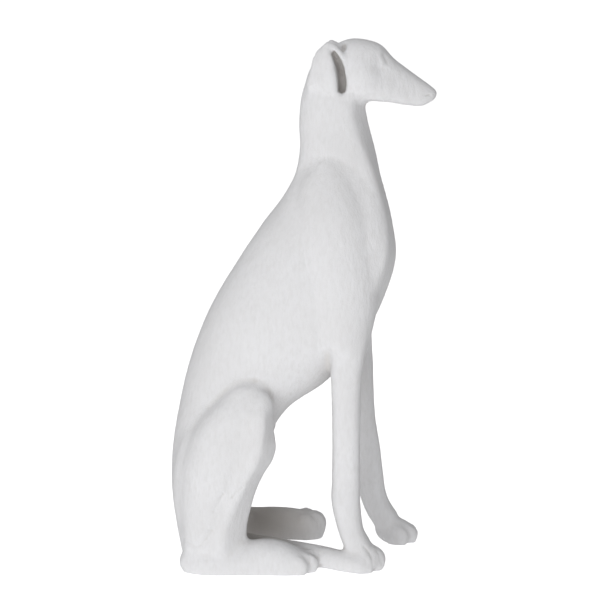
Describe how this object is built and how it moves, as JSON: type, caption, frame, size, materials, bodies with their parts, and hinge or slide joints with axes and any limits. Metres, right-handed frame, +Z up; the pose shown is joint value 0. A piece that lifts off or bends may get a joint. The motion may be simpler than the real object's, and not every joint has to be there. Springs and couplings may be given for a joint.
{
  "type": "greyhound statue",
  "caption": "White cast statue of a greyhound seated upright, ears folded back, its tail brought forward along the ground to a forepaw.",
  "frame": {"origin": "middle of the statue's bounding box at floor level", "axes": "+X the way the dog faces, +Y its left side, +Z up"},
  "size_m": [0.4018, 0.2422, 0.7998],
  "materials": {
    "cast_white": "matt, stone-like"
  },
  "bodies": {
    "root": {"greyhound": "cast_white"}
  },
  "joints": []
}
